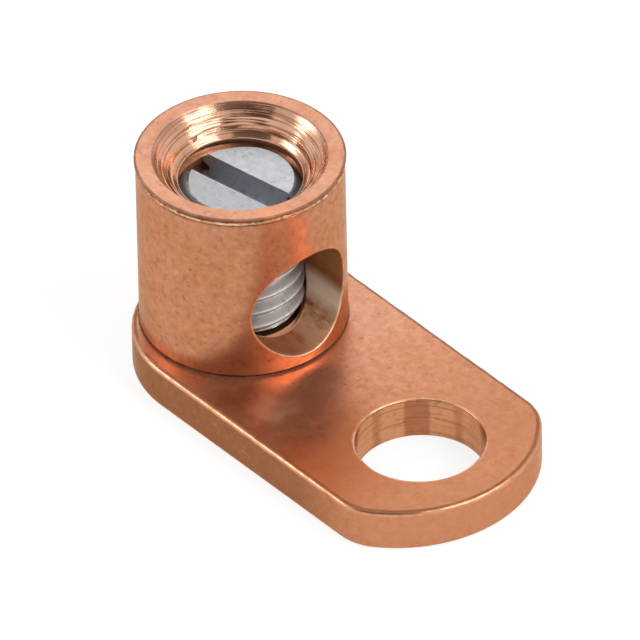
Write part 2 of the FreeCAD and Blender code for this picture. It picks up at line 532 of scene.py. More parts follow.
def tapped_bore(s, pitch):
    """The threaded bore above and below the wire bore, and the ledge and blind seat under it.

    The thread goes out into the copper by 0.30 mm times a smooth groove of the thread's phase, which
    fades at both ends of the wall.
    """
    x, r = -s.barrel_to_stud, s.tap_radius

    def thread(angles, z, along):
        groove = smooth_step(1 - abs(thread_phase(pitch, angles, z) - 0.5) / 0.36)
        fade = smooth_step(along / 0.10) * smooth_step((1 - along) / 0.06)
        return 0.30 * MM * groove * fade

    angles, lift = wire_edge(r, inner_hole(s))
    parts = []
    for side, end_z, rows in ((1, s.barrel_top - s.countersink_depth, 64), (-1, s.ledge_height, 40)):
        start, end = (angles, s.wire_height + side * lift), (even_angles(), end_z)
        parts.append(grid(wall_rows(r, x, start, end, np.linspace(0, 1, rows), thread)))
    seat = turned(
        near(r, s.ledge_height, (0, 0), (-0.04, 0))
        + near(s.seat_radius, s.ledge_height, (0.04, 0), (0, -0.04))
        + near(s.seat_radius, s.seat_height, (0, 0), (-0.04, -0.01))
        + near(0, s.seat_height, (0.15, -0.21)), even_angles(), x)
    return parts + [grid(seat), fan(seat[-1], [x, 0, s.seat_height - 0.22 * MM])]


def wire_bore(s):
    """The wire bore at both sides of the screw, with its rims rounded outside and at the tapped bore.

    A ring lies where a level hole meets an upright cylinder: X = sqrt(cylinder^2 - Y^2) + shift.
    """
    tau = even_angles(COLUMNS // 2, -math.pi / 2)

    def ring(cylinder, hole, shift=0.0):
        y = hole * np.sin(tau)
        x = np.sqrt(cylinder ** 2 - y ** 2) + shift
        return np.stack([x, y, s.wire_height + hole * np.cos(tau)], axis=-1)

    r, tap, hole = s.barrel_radius, s.tap_radius, s.wire_radius
    outer = arc_rows(ring(r, hole + s.wire_rim), ring(r, hole), ring(r, hole, -s.wire_rim), 8)
    inner = arc_rows(ring(tap, hole, 1.3 * BORE_BREAK), ring(tap, hole), ring(tap, inner_hole(s)), 6)
    bore = blend_rows(outer[-1], inner[0], spread(10))
    return [grid(rows * np.array([side, 1, 1]) - np.array([s.barrel_to_stud, 0, 0]))
            for side in (1, -1) for rows in (outer, bore, inner)]


def tang_plate(s, heel, tip, loop, foot_angles, split):
    """The tang's rounded edge, top, underside and stud hole."""
    x, r, thick = -s.barrel_to_stud, s.barrel_radius, s.tang_thick

    def flat(points, z):
        return np.column_stack([points, np.full(len(points), z)])

    outline, normals = (np.vstack([left, right[1:-1]]) for left, right in zip(heel, tip))
    dents = 0.022 * MM * ripple(len(outline), 31, 110)
    edge = plate_edge(outline, normals, thick, s.tang_edge, 8, 0, dents)
    room = np.hypot(loop[:, 0] - x, loop[:, 1])
    foot = np.array([
        around(x, np.clip(room, r - s.crease, reach), foot_angles, thick)
        for reach in (r - s.crease, r + 0.045 * MM, r + 0.065 * MM)])
    under = blend_rows(flat(loop, 0.0), around(x, 0.6 * MM, foot_angles, 0.0), spread(8))

    tip_loop = np.vstack([tip[0] - s.tang_edge * tip[1], split[::-1]])
    outward = level(np.unwrap(np.arctan2(tip_loop[:, 1], tip_loop[:, 0])))
    dents = 0.016 * MM * ripple(len(tip_loop), 32, 45)
    hole = plate_edge(s.hole_radius * outward, -outward, thick, s.hole_break, 6, 12, dents)
    return [
        grid(edge), grid(foot), grid(blend_rows(foot[-1], flat(loop, thick), spread(10))),
        grid(under), fan(under[-1], [x, 0, 0]), grid(hole),
        grid(blend_rows(hole[0], flat(tip_loop, thick), spread(10))),
        grid(blend_rows(hole[-1], flat(tip_loop, 0.0), spread(10)))]


def body_parts(s, pitch):
    """All the surfaces of the copper body, sharing their borders' points."""
    heel, tip, loop, foot_angles, split = tang_loops(s)
    return (barrel_side(s, foot_angles) + barrel_rim(s) + tapped_bore(s, pitch) + wire_bore(s)
            + tang_plate(s, heel, tip, loop, foot_angles, split))


def screw_parts(s, x):
    """All the surfaces of the clamp screw.

    The side's radius is a helix: root + (crest - root) times a trapezoid of the thread's phase, never
    more than the chamfers at the two ends allow.
    """
    floor = s.top - s.slot_depth
    half_slot = s.slot_width / 2

    def radius(angles, z):
        phase = thread_phase(s.pitch, angles + s.thread_turn, z)
        flank = (0.75 - abs(phase - 0.5) * 2) / 0.625
        crest = 0.65 * np.clip(flank, 0.0, 1.0) + 0.35 * smooth_step(flank)
        r = s.root_radius + (s.radius - s.root_radius) * crest
        return np.minimum(r, s.radius - s.chamfer + np.minimum(z - s.bottom, s.top - z))

    def side_angles(z):
        """Angles round both sides of the slot at one height.

        An edge's angle off the slot's direction is asin(wall / radius), settled by repeating it, where
        wall is how far the slot's wall on that side lies off the axis.
        """
        edges = []
        for wall, sign, turn in (
                (half_slot - s.slot_offset, 1, 0.0), (half_slot - s.slot_offset, -1, math.pi),
                (half_slot + s.slot_offset, 1, math.pi), (half_slot + s.slot_offset, -1, TURN)):
            lean = math.asin(half_slot / s.radius)
            for _ in range(8):
                r = radius(s.slot_angle + turn + sign * lean, z)
                lean = math.asin(min(1.0, wall / float(r)))
            edges.append(s.slot_angle + turn + sign * lean)
        return [np.linspace(start, end, HALF_POINTS) for start, end in (edges[:2], edges[2:])]

    # Threaded side under the slot's floor: its columns already follow the slot's edges there.
    gap = 16
    heights = np.linspace(s.bottom, floor, 240)[:, None]
    first, second = side_angles(floor)
    ahead = np.linspace(first[-1], second[0], gap)[1:-1]
    behind = np.linspace(second[-1], first[0] + TURN, gap)[1:-1]
    angles = np.concatenate([first, ahead, second, behind])
    lower = around(x, radius(angles, heights), angles, heights)
    parts = [grid(lower)]

    # Two halves of the side above the floor, each with its wall of the slot and its flat top.
    high = np.linspace(floor, s.top, 26)
    steps = np.linspace(0, 1, HALF_POINTS)
    for angles in np.array([side_angles(z) for z in high]).transpose(1, 0, 2):
        side = around(x, radius(angles, high[:, None]), angles, high[:, None])
        chord = blend_rows(side[-1, :1], side[-1, -1:], steps)[:, 0]
        parts += [grid(side, False), grid(blend_rows(side[:, 0], side[:, -1], steps), False),
                  grid(blend_rows(side[-1], chord, spread(6)), False)]

    # Slot's floor between its two mouths, and the flat tip.
    ring = lower[-1]
    far_mouth = ring[HALF_POINTS - 1:HALF_POINTS + gap - 1]
    near_mouth = np.concatenate([ring[-(gap - 1):], ring[:1]])[::-1]
    centre = np.array([x, 0, s.bottom])
    small = centre + (lower[0] - centre) * 0.1
    return parts + [grid(blend_rows(far_mouth, near_mouth, steps), False),
                    grid(blend_rows(lower[0], small, spread(4))), fan(small, centre)]


# Point masks that the materials read

def copper_marks(s, x, y, z):
    """Point masks of the copper.

    The masks are: the worn edges, partly lightened as a painted highlight; painted shade in the foot's
    crease, round the lip, the rim and the countersink's mouth, along the tang's top edges and in the tapped
    bore and its seat; Drilled the skin of the wire bore; Ledge the step under the screw, painted bright as a
    painted reflection; Burred the rough lip round the barrel's rim; Faced the flat faces on top of the tang
    and the barrel; and the tang's long sides, darkened as painted shade.
    """
    r, tap, top, thick, edge = s.barrel_radius, s.tap_radius, s.barrel_top, s.tang_thick, s.tang_edge
    lip_z = top - LIP_FALL
    floor = top - s.countersink_depth
    out = np.hypot(x + s.barrel_to_stud, y)
    stud = np.hypot(x, y)
    across = np.hypot(y, z - s.wire_height)
    off_barrel = out > r + 0.02 * MM
    off_bores = (stud > s.hole_radius + s.hole_break * 1.2) & off_barrel
    by_foot = out > r - 1.5 * s.crease

    # Lightened edges: partly wear, partly a painted highlight along the tang's, the stud hole's, the wire
    # bore's and the lip's edges.
    worn_and_highlight = (
        0.3 * hump(z, thick - edge, thick - 0.07 * MM) * off_bores
        + 0.5 * hump(across, s.wire_radius - 0.01 * MM, s.wire_radius + s.wire_rim)
        * (out > r - 2.0 * s.wire_rim) * (z < lip_z - 0.5 * MM)
        + ridge(z, lip_z, -0.04, 0.15) * off_barrel
        + 0.6 * hump(stud, s.hole_radius + 0.005 * MM, s.hole_radius + s.hole_break * 1.4) * (z > thick / 2))

    foot = ridge(z, thick, -0.04, 0.15) * (z > thick + TOUCH) * by_foot * (out < r - 0.4 * s.crease)
    ring = (abs(z - thick) < TOUCH) * by_foot * (out < r + 0.05 * MM)
    thread = 0.45 + 0.40 * smooth_step((z - floor + 0.6 * MM) / (0.5 * MM))
    mouth = (
        ridge(z, top, -0.34, -0.005) * band(out, s.mouth_radius, -0.34, 0.05)
        + ridge(out, s.mouth_radius, -0.02, 0.07) * band(z, top, -0.07, -0.006))
    # Painted shade: the foot's crease, the lip's groove and underside, the rim's and the tang's top edges,
    # the tapped bore, the countersink's mouth and floor, and the seat under the screw.
    painted_shade = (
        1.3 * (foot + 0.5 * ring)
        + 0.7 * ridge(z, lip_z, 0.12, 0.26) * (out > r)
        + 0.5 * ridge(z, lip_z, -0.13, -0.01) * (out > r - 0.05 * MM)
        + 0.6 * ridge(z, top, -0.12, 0.04) * (out > r - 0.07 * MM)
        + 0.6 * ridge(z, thick, -0.06, 0.03) * off_bores * (Tang(s).depth(x, y) < edge + 0.012 * MM)
        + thread * (out < tap + 0.45 * MM) * (z > s.wire_height) * (z < floor)
        + 0.2 * (out < tap + 0.14 * MM) * band(z, floor, -0.01, 0.3)
        + 0.4 * mouth
        + (out < tap + 0.3 * MM) * (z < s.ledge_height - 0.03 * MM) * (z > thick))

    # The step under the screw, which the material paints bright as a painted reflection.
    step = (abs(z - s.ledge_height) < 0.03 * MM) & (out > s.seat_radius) & (out < tap + 0.01 * MM)
    step_rim = band(z, s.ledge_height, 0, 0.5) & band(out, tap, -0.01, 0.17)
    flat_tang = smooth_step(1 - abs(z - thick) / (0.04 * MM)) * (out > r - s.crease)
    # The tang's long sides, which the material darkens as painted shade, fading out towards the tip.
    wall = (z > edge - TOUCH) & (z < thick - edge + TOUCH) & (stud > s.hole_radius + 0.5 * MM) & off_barrel
    return {
        "Worn_lit_edges": worn_and_highlight,
        "Painted_shade_mask": painted_shade,
        "Drilled": (across < s.wire_radius + 0.02 * MM) & (out < r),
        "Ledge": step | step_rim,
        "Burred": hump(z, lip_z - 0.08 * MM, top - 0.02 * MM) * (out > r - 0.02 * MM),
        "Faced": (z > top - 0.03 * MM) + 0.75 * flat_tang,
        "Shaded_sides": wall * smooth_step((2.0 * MM - x) / (5.0 * MM))}


def zinc_marks(s, barrel_x, x, y, z):
    """Point masks of the screw.

    The masks are: the slot's edges and the crests, worn and partly lightened as a painted highlight;
    painted shade in the slot, round the top's shoulder and under each turn; one half of the top, darkened
    as painted shade; and Threaded, the side under the slot.
    """
    floor = s.top - s.slot_depth
    out = np.hypot(x - barrel_x, y)
    side = y * math.cos(s.slot_angle) - (x - barrel_x) * math.sin(s.slot_angle) + s.slot_offset
    half_slot = s.slot_width / 2
    flat = z > s.top - TOUCH
    lip = flat * (abs(side) < half_slot + 0.012 * MM)
    crest = smooth_step((out - s.radius + 0.06 * MM) / (0.06 * MM)) * (z < floor)
    slot = (abs(side) < half_slot + TOUCH) * (z < s.top - 0.04 * MM) * (z > floor - TOUCH)
    shoulder = smooth_step((z - floor - 0.2 * MM) / (0.8 * MM)) * (z < s.top - TOUCH)
    shoulder = shoulder * (out > s.radius - s.chamfer - 0.02 * MM) * (1 - slot)
    off_root = out > s.root_radius - 0.1 * MM
    phase = thread_phase(s.pitch, np.arctan2(y, x - barrel_x) + s.thread_turn, z)
    return {
        # Slot edges and crests: burnished, and lightened partly as a painted highlight.
        "Worn_lit_edges": 0.7 * lip + 0.15 * crest,
        # Painted shade in the slot, round the top's shoulder and on the underside of each turn.
        "Painted_shade_mask": 0.17 * slot + 0.50 * shoulder + 0.85 * hump(phase, -0.02, 0.32) * (z < floor) * off_root,
        # Painted shade: one half of the top, across the slot, darker.
        "Dull": 0.75 * flat * (side < 0),
        "Threaded": smooth_step((s.top - 0.5 * MM - z) / (1.2 * MM)) * off_root}


# Materials

def rgba(value):
    """A socket as it is, or a colour with its alpha."""
    return (*value, 1.0) if isinstance(value, tuple) else value


class Nodes:
    """Short calls that add nodes to one tree; values are other nodes' sockets or numbers."""

    def __init__(self, tree):
        self.tree = tree

    def feed(self, socket, value):
        """Link an input to another node's socket, or set its value."""
        if isinstance(value, bpy.types.NodeSocket):
            self.tree.links.new(value, socket)
        else:
            socket.default_value = value

    def add(self, kind, inputs=(), **settings):
        """The outputs of a new node with its settings and its inputs, which go by name or number."""
        node = self.tree.nodes.new("ShaderNode" + kind)
        for name, value in settings.items():
            setattr(node, name, value)
        for key, value in dict(inputs).items():
            self.feed(node.inputs[key], value)
        return node.outputs

    def noise(self, vector, scale, detail, roughness):
        """A noise pattern on the vector."""
        inputs = {"Vector": vector, "Scale": scale, "Detail": detail, "Roughness": roughness}
        return self.add("TexNoise", inputs)["Fac"]

    def ramp(self, value, low, high, start=0.0, end=1.0):
        """A number that goes from low to high while the value goes from start to end."""
        inputs = {"Value": value, "From Min": start, "From Max": end, "To Min": low, "To Max": high}
        return self.add("MapRange", inputs)["Result"]

    def stretched(self, vector, factors):
        """The vector times three factors."""
        return self.add("VectorMath", {0: vector, 1: factors}, operation="MULTIPLY")["Vector"]

    def calc(self, operation, first, *others):
        """The values joined in turn by one kind of Math node."""
        for other in others:
            first = self.add("Math", {0: first, 1: other}, operation=operation)[0]
        return first

    def times(self, *values):
        """The product of the values."""
        return self.calc("MULTIPLY", *values)

    def plus(self, *values):
        """The sum of the values."""
        return self.calc("ADD", *values)

    def hypot(self, x, y):
        """The root of x^2 + y^2."""
        return self.calc("SQRT", self.plus(self.times(x, x), self.times(y, y)), 0.0)

    def region(self, place, axis_x, radius, low, high):
        """Mask of the upright cylinder round X = axis_x: 1 inside the radius and between two heights."""
        x, y, z = place
        out = self.hypot(self.calc("SUBTRACT", x, axis_x), y)
        return self.times(self.calc("LESS_THAN", out, radius), self.calc("GREATER_THAN", z, low),
                          self.calc("LESS_THAN", z, high))

    def mix(self, factor, first, second):
        """Blend of two colours, each a socket or an RGB triple."""
        return self.add("Mix", {0: factor, 6: rgba(first), 7: rgba(second)}, data_type="RGBA")[2]

    def tinted(self, tone, *layers):
        """The tone with (factor, colour) layers laid over it in turn."""
        for factor, tint in layers:
            tone = self.mix(factor, tone, tint)
        return tone

    def group(self, name, build, inputs):
        """The outputs of a shared node group, which is built the first time it is asked for."""
        tree = bpy.data.node_groups.get(name) or build(name)
        return self.add("Group", inputs, node_tree=tree)

    def mark(self, name):
        """The named point mask of the mesh."""
        return self.add("Attribute", attribute_name=name)["Fac"]

    def bumps(self, *layers):
        """A normal bent by (height, strength, distance in metres) layers in turn."""
        normal = {}
        for height, strength, distance in layers:
            inputs = {"Height": height, "Strength": strength, "Distance": distance, **normal}
            normal = {"Normal": self.add("Bump", inputs)["Normal"]}
        return normal["Normal"]

    def seen(self):
        """1 for camera, glossy and transmission rays and 0 for all others."""
        path = self.add("LightPath")
        rays = (path[f"Is {kind} Ray"] for kind in ("Camera", "Glossy", "Transmission"))
        return self.calc("MAXIMUM", *rays)


def new_group(name, numbers, results):
    """A node group with a Vector, numbers with their defaults, and numbers for results."""
    group = bpy.data.node_groups.new(name, "ShaderNodeTree")
    group.interface.new_socket(name="Vector", in_out="INPUT", socket_type="NodeSocketVector")
    for label, default in numbers.items():
        socket = group.interface.new_socket(name=label, in_out="INPUT", socket_type="NodeSocketFloat")
        socket.default_value = default
    for label in results:
        group.interface.new_socket(name=label, in_out="OUTPUT", socket_type="NodeSocketFloat")
    source, result = (group.nodes.new(kind) for kind in ("NodeGroupInput", "NodeGroupOutput"))
    return group, Nodes(group), source.outputs, result.inputs


def metal_grain(name):
    """Group of a metal's fine mottling: tone and patch masks, dark and light specks and a height."""
    group, nodes, source, result = new_group(
        name, {"Scale": 1.0}, ("Tone", "Patches", "Specks", "Glints", "Height"))
    ramp, times = nodes.ramp, nodes.times
    vector = nodes.add(
        "VectorMath", {0: source["Vector"], "Scale": source["Scale"]}, operation="SCALE")["Vector"]
    broad, fine, speck, cluster = (nodes.noise(vector, *values) for values in (
        (330.0, 4.0, 0.6), (2400.0, 4.0, 0.65), (4200.0, 1.0, 0.5), (900.0, 2.0, 0.5)))
    dark = times(ramp(speck, 0.0, 1.0, 0.56, 0.72), ramp(cluster, 0.0, 1.0, 0.42, 0.60))
    light = times(ramp(speck, 1.0, 0.0, 0.30, 0.40), ramp(cluster, 1.0, 0.0, 0.42, 0.58))
    nodes.feed(result["Tone"], ramp(fine, 0.0, 1.0, 0.34, 0.66))
    nodes.feed(result["Patches"], ramp(broad, 0.0, 1.0, 0.36, 0.64))
    nodes.feed(result["Specks"], dark)
    nodes.feed(result["Glints"], light)
    nodes.feed(result["Height"], nodes.plus(times(fine, 0.7), times(speck, 0.3)))
    return group


def turning_lines(name):
    """Group of fine tool lines round an upright axis, by radius plus height, and upright bands by angle, used
    as painted reflections.
    """
    group, nodes, source, result = new_group(name, {"Axis X": 0.0, "Spacing": 0.1}, ("Lines", "Reflection_bands"))
    calc, plus, times = nodes.calc, nodes.plus, nodes.times
    x, y, z = nodes.add("SeparateXYZ", {"Vector": source["Vector"]})
    x = calc("SUBTRACT", x, source["Axis X"])
    turn = calc("ARCTAN2", y, x)
    count = calc("DIVIDE", plus(z, nodes.hypot(x, y)), source["Spacing"])
    along = nodes.add("CombineXYZ", {"X": count, "Y": times(turn, 0.8)})["Vector"]
    narrow = calc("SINE", plus(times(turn, 9.0), -2.04), 0.0)
    wide = calc("SINE", plus(times(turn, 4.0), -2.146), 0.0)
    nodes.feed(result["Lines"], nodes.noise(along, 1.0, 1.2, 0.6))
    nodes.feed(result["Reflection_bands"], nodes.ramp(plus(narrow, times(wide, 0.65)), 0.0, 1.0, 0.0, 0.55))
    return group


def new_material(name):
    """A material, its nodes and its shader's inputs."""
    material = bpy.data.materials.new(name)
    material.use_nodes = True
    return material, Nodes(material.node_tree), material.node_tree.nodes["Principled BSDF"].inputs


def metal_start(name):
    """A new metal with its coordinates, their X, Y and Z, and the shared grain."""
    material, nodes, shader = new_material(name)
    vector = nodes.add("TexCoord")["Object"]
    place = tuple(nodes.add("SeparateXYZ", {"Vector": vector}))
    mottle = nodes.group("Metal grain", metal_grain, {"Vector": vector, "Scale": 1.0})
    shader["Specular IOR Level"].default_value = 0.2
    return material, nodes, shader, vector, place, mottle


def tang_tints_and_reflections(nodes, tone, vector, place, flats):
    """The tone with the tang's top darker and redder towards its near side, and with painted reflections of
    the barrel round its foot: one dark brown, one pink and one salmon.
    """
    x, y, _ = place
    ramp, times, calc = nodes.ramp, nodes.times, nodes.calc
    near_side = times(flats, ramp(y, 1.0, 0.0, -2.0 * MM, 0.5 * MM), ramp(x, 1.0, 0.0, -1.0 * MM, 3.0 * MM))
    for weight, start, full, tint in (
            (0.6, -8.5, -7.0, (0.60, 0.18, 0.068)), (0.75, -5.2, -3.6, (0.42, 0.145, 0.058))):
        tone = nodes.mix(times(near_side, ramp(x, 0.0, weight, start * MM, full * MM)), tone, tint)
    clouds = ramp(nodes.noise(vector, 600.0, 3.0, 0.6), -0.35, 0.35, 0.35, 0.65)
    # Painted reflections of the barrel on the tang's top round its foot: one dark brown, one pink, one
    # salmon.
    for middle_x, middle_y, reach, weight, tint in (
            (-8.8, -4.8, 1.5, 0.8, (0.38, 0.105, 0.028)), (-6.9, -4.4, 1.6, 0.9, (0.98, 0.52, 0.33)),
            (-8.8, -1.9, 1.4, 0.8, (0.85, 0.37, 0.20))):
        away = nodes.hypot(calc("SUBTRACT", x, middle_x * MM), calc("SUBTRACT", y, middle_y * MM))
        away = nodes.plus(calc("DIVIDE", away, reach * MM), clouds)
        tone = nodes.mix(times(flats, ramp(away, weight, 0.0, 0.35, 1.0)), tone, tint)
    return tone


def bore_skin_light_and_shade(nodes, streaks, place):
    """Streaky skin of the wire bore: lighter low on its far wall as painted light, dark brown low on the near
    side, and an even orange-brown in its upper half.
    """
    _, y, z = place
    ramp, times = nodes.ramp, nodes.times
    skin = nodes.mix(ramp(streaks, 0.0, 1.0, 0.42, 0.58), (0.26, 0.100, 0.045), (0.68, 0.37, 0.22))
    # Painted light: the lower part of the far wall lightened.
    painted_lit_wall = times(ramp(z, 0.0, 0.9, 3.8 * MM, 4.3 * MM), ramp(z, 1.0, 0.0, 4.7 * MM, 5.3 * MM),
                 ramp(y, 0.0, 1.0, 0.0, 1.5 * MM))
    brown = times(ramp(y, 0.85, 0.0, -0.3 * MM, 1.6 * MM), ramp(z, 1.0, 0.0, 4.4 * MM, 5.2 * MM))
    return nodes.tinted(
        skin, (painted_lit_wall, (1.0, 0.78, 0.60)), (brown, (0.31, 0.100, 0.035)),
        (ramp(z, 0.0, 0.8, 4.8 * MM, 5.6 * MM), (0.50, 0.205, 0.068)))


def copper_material(finish, body):
    """Satin copper: mottled tone with specks, turned bores, worn edges and painted highlights, shade and
    reflections.
    """
    material, nodes, shader, vector, place, mottle = metal_start("Machined copper")
    ramp, times, mark, noise = nodes.ramp, nodes.times, nodes.mark, nodes.noise
    x = place[0]
    patches, flats, drilled = mottle["Patches"], mark("Faced"), mark("Drilled")

    # Countersink and stud hole, with their tool lines.
    barrel_x = -body.barrel_to_stud
    bowl = nodes.region(place, barrel_x, body.mouth_radius + 0.03 * MM,
                        body.barrel_top - body.countersink_depth - 0.05 * MM, body.barrel_top - 0.02 * MM)
    stud = nodes.region(place, 0.0, body.hole_radius + 0.03 * MM, 0.08 * MM, body.tang_thick - 0.08 * MM)
    bowl_turned, stud_turned = (
        nodes.group("Turning lines", turning_lines, {"Vector": vector, "Axis X": axis_x, "Spacing": spacing})
        for axis_x, spacing in ((barrel_x, 0.16 * MM), (0.0, 0.15 * MM)))
    bowl_lines, stud_lines = times(bowl_turned["Lines"], bowl), times(stud_turned["Lines"], stud)
    scores = nodes.plus(times(ramp(bowl_lines, 0.0, 1.0, 0.52, 0.58), 0.72),
                        times(ramp(stud_lines, 0.0, 1.0, 0.54, 0.62), 0.40))

    # Colour, from the clean metal up to the painted shade in its crevices, with painted light and reflections
    # on the way.
    clean = tuple(finish.copper)
    pink = tuple(min(1.0, c * k) for c, k in zip(clean, (1.13, 1.38, 1.86)))
    # Painted light: flat tops lighter and pinker in patches, most near the barrel.
    lit_faces = times(flats, ramp(patches, 0.60, 1.0), ramp(mottle["Tone"], 0.75, 1.0),
                  ramp(x, 1.0, 0.65, -8.5 * MM, -3.0 * MM))
    # Painted shade: darker in patches towards the tang's tip, most on the flat tops.
    tip_shade = times(ramp(x, 0.0, 1.0, -7.0 * MM, 2.5 * MM), ramp(patches, 0.7, 1.0),
                 ramp(flats, 0.65, 1.0), 0.78)
    tone = nodes.tinted(
        nodes.mix(mottle["Tone"], tuple(finish.copper_dull), clean),
        (ramp(patches, 0.0, 0.18), pink),
        (lit_faces, pink),
        # Painted shade on the tang's long sides.
        (times(mark("Shaded_sides"), 0.8), (0.27, 0.102, 0.040)),
        (times(bowl, 0.5), (0.72, 0.42, 0.27)),
        (times(stud, 0.40), (0.80, 0.40, 0.20)),
        # Painted reflections: darker upright bands round the stud hole's wall.
        (times(stud_turned["Reflection_bands"], stud, 0.85), (0.36, 0.132, 0.056)),
        (times(mottle["Specks"], ramp(flats, 0.50, 0.40)), (0.25, 0.085, 0.04)),
        (times(mottle["Glints"], ramp(flats, 0.08, 0.14)), (0.93, 0.64, 0.48)),
        (tip_shade, (0.44, 0.160, 0.075)))
    tone = tang_tints_and_reflections(nodes, tone, vector, place, flats)
    off_tops = nodes.calc("SUBTRACT", 1.0, nodes.calc("MAXIMUM", flats, stud))
    streaks = noise(nodes.stretched(vector, (0.5, 1.0, 1.0)), 800.0, 5.0, 0.62)
    breaks = noise(vector, 1100.0, 3.0, 0.6)
    dots = noise(vector, 3600.0, 3.0, 0.6)
    # Edges lightened towards cream: partly wear, partly a painted highlight, broken up by noise.
    worn_and_highlight = times(mark("Worn_lit_edges"), ramp(breaks, 0.15, 1.0, 0.38, 0.60))
    burr_dots_and_glints = times(mark("Burred"), ramp(breaks, 0.2, 1.0, 0.40, 0.60))
    # Painted shade in crevices, bores and along edges, broken up by noise.
    painted_shade = times(mark("Painted_shade_mask"), ramp(breaks, 0.65, 1.0, 0.36, 0.50))
    tone = nodes.tinted(
        tone,
        # Painted light: faces other than the flat tops lighter and more orange towards the tang's tip.
        (times(ramp(x, 0.0, 0.25, 0.0, 3.0 * MM), off_tops), (0.84, 0.38, 0.19)),
        (times(flats, ramp(mottle["Tone"], 0.12, 0.0)), (0.36, 0.130, 0.060)),
        (drilled, bore_skin_light_and_shade(nodes, streaks, place)),
        (scores, (0.22, 0.085, 0.04)),
        (worn_and_highlight, (0.93, 0.62, 0.44)),
        (times(burr_dots_and_glints, ramp(dots, 0.0, 0.85, 0.52, 0.58)), (0.17, 0.055, 0.025)),
        # Painted glints: bright dots along the lip.
        (times(burr_dots_and_glints, ramp(dots, 0.7, 0.0, 0.38, 0.48)), (0.95, 0.60, 0.36)),
        # Painted reflection: the step under the screw, bright orange.
        (mark("Ledge"), (1.0, 0.50, 0.26)),
        (painted_shade, (0.085, 0.030, 0.015)))
    nodes.feed(shader["Base Color"], tone)

    # Gloss and relief.
    matte_skin_and_lit_ledge = nodes.calc("MAXIMUM", drilled, mark("Ledge"))
    nodes.feed(shader["Metallic"], times(ramp(matte_skin_and_lit_ledge, 0.88, 0.1), ramp(painted_shade, 1.0, 0.05)))
    nodes.feed(shader["Coat Weight"], times(bowl, 0.85))
    shader["Coat Roughness"].default_value = 0.2
    shader["Specular Tint"].default_value = (0.80, 0.66, 0.54, 1.0)
    nodes.feed(shader["Roughness"], nodes.plus(
        ramp(mottle["Tone"], finish.copper_rough + 0.05, finish.copper_rough - 0.05),
        times(drilled, 0.22), times(bowl, -0.18), times(stud, -0.13), times(worn_and_highlight, -0.06)))
    nodes.feed(shader["Normal"], nodes.bumps(
        (mottle["Height"], 0.35, 0.012 * MM),
        (times(streaks, drilled), 0.8, 0.06 * MM),
        (nodes.plus(bowl_lines, stud_lines), 0.6, 0.035 * MM),
        (noise(vector, 420.0, 1.0, 0.5), 1.0, 0.05 * MM)))
    return material


def zinc_material(finish):
    """Zinc plate: scuffed grey top, half of it in painted shade, burnished edges with painted highlights, and
    painted shade in the slot and the thread roots.
    """
    material, nodes, shader, vector, _, mottle = metal_start("Zinc plate")
    ramp, times, mark = nodes.ramp, nodes.times, nodes.mark
    base = tuple(finish.zinc)
    scuffs = nodes.noise(nodes.stretched(vector, (1.0, 0.35, 1.0)), 1900.0, 3.0, 0.6)
    scuffs = ramp(scuffs, 0.0, 1.0, 0.60, 0.72)
    nodes.feed(shader["Base Color"], nodes.tinted(
        nodes.mix(mottle["Tone"], tuple(v * 0.86 for v in base), base),
        # Painted shade: one half of the top darker.
        (mark("Dull"), tuple(v * k for v, k in zip(base, (0.70, 0.69, 0.66)))),
        (times(mark("Threaded"), 0.6), (0.55, 0.51, 0.44)),
        (times(mottle["Specks"], 0.45), (0.22, 0.24, 0.25)),
        (times(scuffs, 0.35), (0.80, 0.82, 0.82)),
        # Slot edges and crests lightened: partly burnishing, partly a painted highlight.
        (times(mark("Worn_lit_edges"), ramp(mottle["Patches"], 0.2, 1.0)), (0.90, 0.91, 0.90)),
        # Painted shade in the slot, round the top and under the turns.
        (mark("Painted_shade_mask"), (0.115, 0.125, 0.135))))
    nodes.feed(shader["Metallic"], ramp(mark("Painted_shade_mask"), 1.0, 0.1))
    nodes.feed(shader["Roughness"], nodes.plus(
        ramp(mottle["Tone"], finish.zinc_rough + 0.06, finish.zinc_rough - 0.04),
        times(mark("Threaded"), 0.14)))
    nodes.feed(shader["Normal"], nodes.bumps((mottle["Height"], 0.25, 0.010 * MM), (scuffs, 0.3, 0.008 * MM)))
    return material


def matte_material(name, grey):
    """A matte grey, with its nodes."""
    material, nodes, shader = new_material(name)
    shader["Base Color"].default_value = (grey, grey, grey, 1)
    shader["Roughness"].default_value = 1.0
    shader["Specular IOR Level"].default_value = 0.0
    return material, nodes


# Operators

class LUG_OT_body(bpy.types.Operator):
    """Build the one-piece copper body with its bores, countersink and tang."""
    bl_idname = "lug.body"
    bl_label = "Lug body"

    def execute(self, context):
        scene = context.scene
        sizes = scene.lug_body
        obj = piece("Copper_body", body_parts(sizes, scene.lug_screw.pitch),
                    copper_material(scene.lug_finish, sizes))
        set_marks(obj, copper_marks, sizes)
        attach(obj, "lug")
        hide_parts("lug_body")
        return {"FINISHED"}


class LUG_OT_screw(bpy.types.Operator):
    """Build the threaded, slotted clamp screw."""
    bl_idname = "lug.screw"
    bl_label = "Clamp screw"

    def execute(self, context):
        scene = context.scene
        sizes = scene.lug_screw
        barrel_x = -scene.lug_body.barrel_to_stud
        obj = piece("Slotted_screw", screw_parts(sizes, barrel_x), zinc_material(scene.lug_finish))
        set_marks(obj, zinc_marks, sizes, barrel_x)
        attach(obj, "screw")
        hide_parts("clamp_screw")
        return {"FINISHED"}


def facing(direction, across):
    """Axes whose Z points along the direction and whose X is square to it and to the across vector."""
    z = np.array(direction) / np.linalg.norm(direction)
    x = np.cross(across, z)
    x = x / np.linalg.norm(x)
    return x, np.cross(z, x), z


def set_place(obj, place, axes):
    """Put an object at a place and turn it to the axes."""
    turn = Matrix(np.column_stack(axes).tolist()).to_4x4()
    obj.matrix_world = Matrix.Translation(place.tolist()) @ turn


